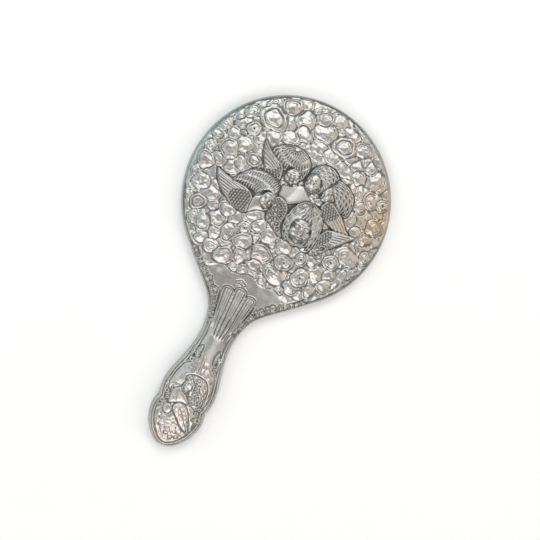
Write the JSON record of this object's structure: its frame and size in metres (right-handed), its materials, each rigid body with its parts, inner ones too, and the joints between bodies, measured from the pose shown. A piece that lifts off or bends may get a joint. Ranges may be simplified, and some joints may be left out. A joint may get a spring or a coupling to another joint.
{
  "type": "hand mirror",
  "caption": "Round dressing-table hand mirror with a shaped handle: stamped silver shells with cherub and cloud relief on the back, bevelled glass in a sprung bezel on the front.",
  "frame": {"origin": "centre of the bounding box in plan, on the plane the glass bezel rests on", "axes": "+Z out of the decorated back, +Y from the handle towards the round head, +X to the right seen from the back with the head up"},
  "size_m": [0.15, 0.271, 0.0163],
  "materials": {
    "silver_back": "worn bright silver, dark oxidised recesses",
    "silver_front": "worn bright silver with fine scratches",
    "silver_bezel": "polished silver",
    "solder": "dull, scraped flush",
    "plate_glass": "polished, bevelled edge",
    "silvering": "matte protective paint over silvering",
    "card": "matte pressed card",
    "board_wood": "unfinished thin board",
    "tang_steel": "mill finish, dull",
    "rivet_brass": "filed flush",
    "pitch": "set pitch, matte"
  },
  "bodies": {
    "root": {"back_stamping": "silver_back", "front_stamping": "silver_front", "seam_solder": "solder", "seat_collar": "silver_front", "glass_bezel": "silver_bezel", "mirror_glass": "plate_glass", "glass_silvering": "silvering", "glass_packing": "card", "core_board": "board_wood", "handle_tang": "tang_steel", "tang_rivets": "rivet_brass", "head_filling": "pitch", "handle_filling": "pitch"}
  },
  "joints": []
}
